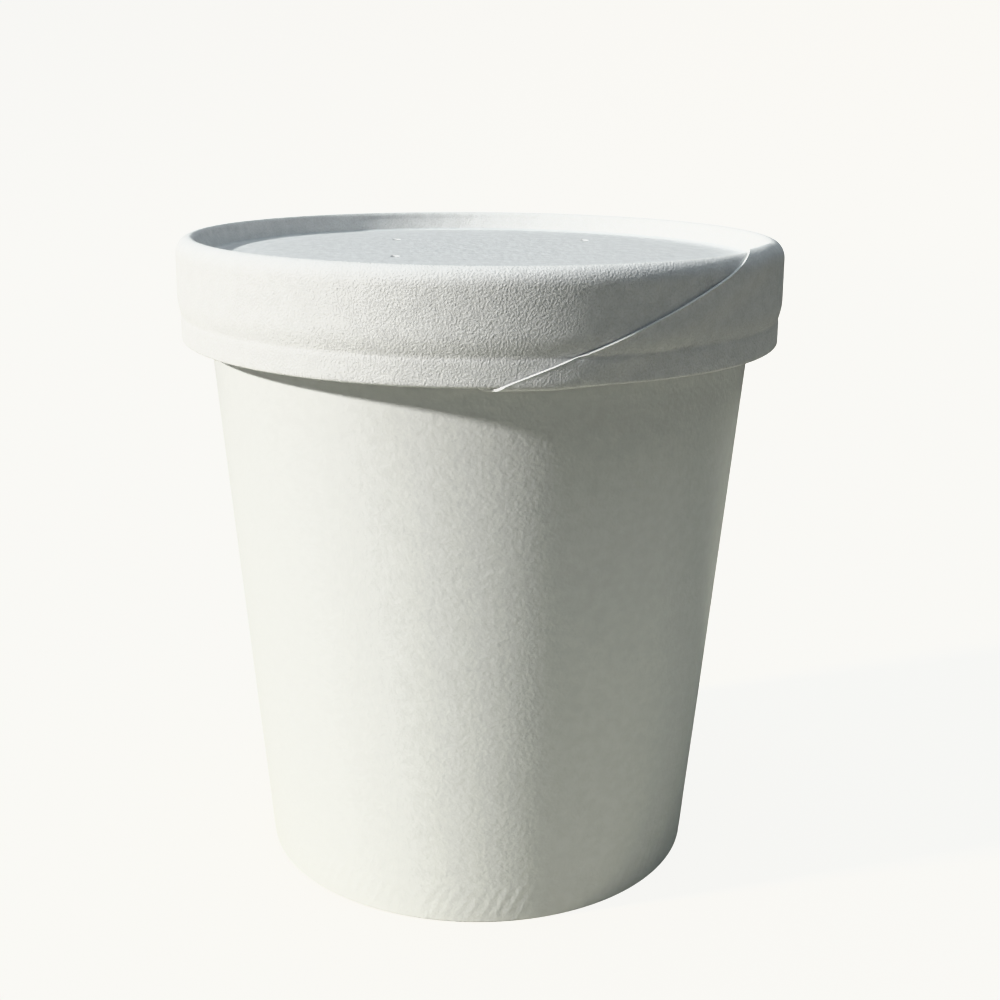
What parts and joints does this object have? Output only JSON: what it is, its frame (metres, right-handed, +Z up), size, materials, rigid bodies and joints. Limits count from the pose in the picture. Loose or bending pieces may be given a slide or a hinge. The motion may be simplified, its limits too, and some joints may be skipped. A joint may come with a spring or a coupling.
{
  "type": "paper soup container",
  "caption": "Shut round white paper soup cup with a tapered wall, rolled rim and recessed foot, and a pressed-on paper lid with a hemmed skirt and a slanted seam.",
  "frame": {"origin": "centre of the foot, on the surface that the container stands on", "axes": "+Z up along the container's axis, -Y towards the front, where the lid's seam starts at the skirt's lower edge"},
  "size_m": [0.0972, 0.0972, 0.1042],
  "materials": {
    "cup_board": "white coated paperboard with a soft semi-gloss",
    "base_board": "white paperboard, matt",
    "band_paper": "white uncoated paper with a pebbled grain, matt",
    "panel_board": "white coated paperboard, satin"
  },
  "bodies": {
    "root": {"cup": "cup_board", "base_disc": "base_board", "lid_band": "band_paper", "lid_panel": "panel_board"}
  },
  "joints": []
}
